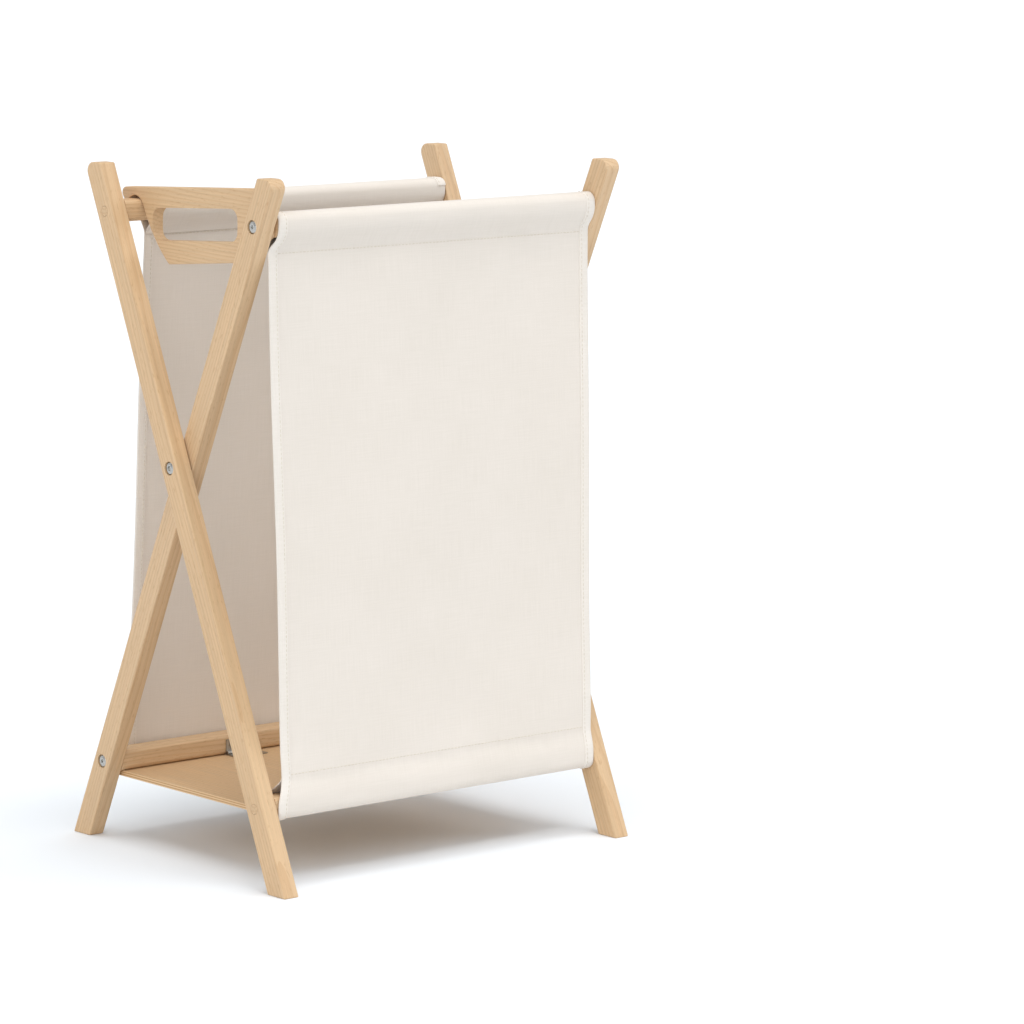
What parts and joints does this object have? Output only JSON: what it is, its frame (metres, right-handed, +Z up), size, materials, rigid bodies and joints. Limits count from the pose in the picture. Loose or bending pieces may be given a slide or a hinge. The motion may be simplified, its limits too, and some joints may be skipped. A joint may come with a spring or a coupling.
{
  "type": "folding laundry hamper",
  "caption": "Folding X-frame laundry hamper: crossed wooden legs, rails and handle board, canvas front and back, and a thin flip-up wooden base.",
  "frame": {"origin": "centre of the footprint on the floor, the bottom centre of the bounding box", "axes": "+Z up, +X along the hamper to the right seen from its front, -Y is the front with the long canvas panel"},
  "size_m": [0.476, 0.3742, 0.7],
  "materials": {
    "beech": "clear matt oil on light beech",
    "plywood": "sanded thin plywood",
    "steel": "bright zinc plate",
    "canvas": "off-white cotton canvas, plain weave"
  },
  "bodies": {
    "frame_a": {"leg_a_left": "beech", "leg_a_right": "beech", "rail_top_back": "beech", "rail_bottom_front": "beech", "dowel_top_back_left": "beech", "dowel_top_back_right": "beech", "dowel_bottom_front_left": "beech", "dowel_bottom_front_right": "beech", "pivot_bolt_left": "steel", "pivot_bolt_right": "steel", "pivot_washer_left": "steel", "pivot_washer_right": "steel", "pivot_nut_left": "steel", "pivot_nut_right": "steel", "hem_top_back": "canvas", "hem_bottom_front": "canvas", "panel_back": "canvas"},
    "frame_b": {"leg_b_left": "beech", "leg_b_right": "beech", "rail_top_front": "beech", "rail_bottom_back": "beech", "bolt_top_front_left": "steel", "bolt_top_front_right": "steel", "bolt_bottom_back_left": "steel", "bolt_bottom_back_right": "steel", "hinge_rail_leaf_left": "steel", "hinge_rail_leaf_right": "steel", "hinge_pin_left": "steel", "hinge_pin_right": "steel", "rail_screw_1": "steel", "rail_screw_2": "steel", "rail_screw_3": "steel", "rail_screw_4": "steel", "hem_top_front": "canvas", "panel_front": "canvas"},
    "handle": {"handle_board": "beech"},
    "base": {"base_board": "plywood", "hinge_base_leaf_left": "steel", "hinge_base_leaf_right": "steel", "base_screw_1": "steel", "base_screw_2": "steel", "base_screw_3": "steel", "base_screw_4": "steel"}
  },
  "joints": [
    {"name": "fold", "type": "hinge", "parent": "frame_a", "child": "frame_b", "pos_m": [0, 0, 0.404], "axis": [-1, 0, 0], "range_deg": [0, 38], "deforming": ["panel_front", "panel_back"]},
    {"name": "handle_swing", "type": "hinge", "parent": "frame_b", "child": "handle", "pos_m": [0, -0.10681, 0.652], "axis": [1, 0, 0], "range_deg": [0, 114]},
    {"name": "base_flip", "type": "hinge", "parent": "frame_b", "child": "base", "pos_m": [0, 0.12518, 0.0732], "axis": [-1, 0, 0], "range_deg": [0, 66.5]}
  ],
  "couplings": [
    {"joint": "handle_swing", "follows": "fold", "ratio": 3},
    {"joint": "base_flip", "follows": "fold", "ratio": 1.75}
  ]
}
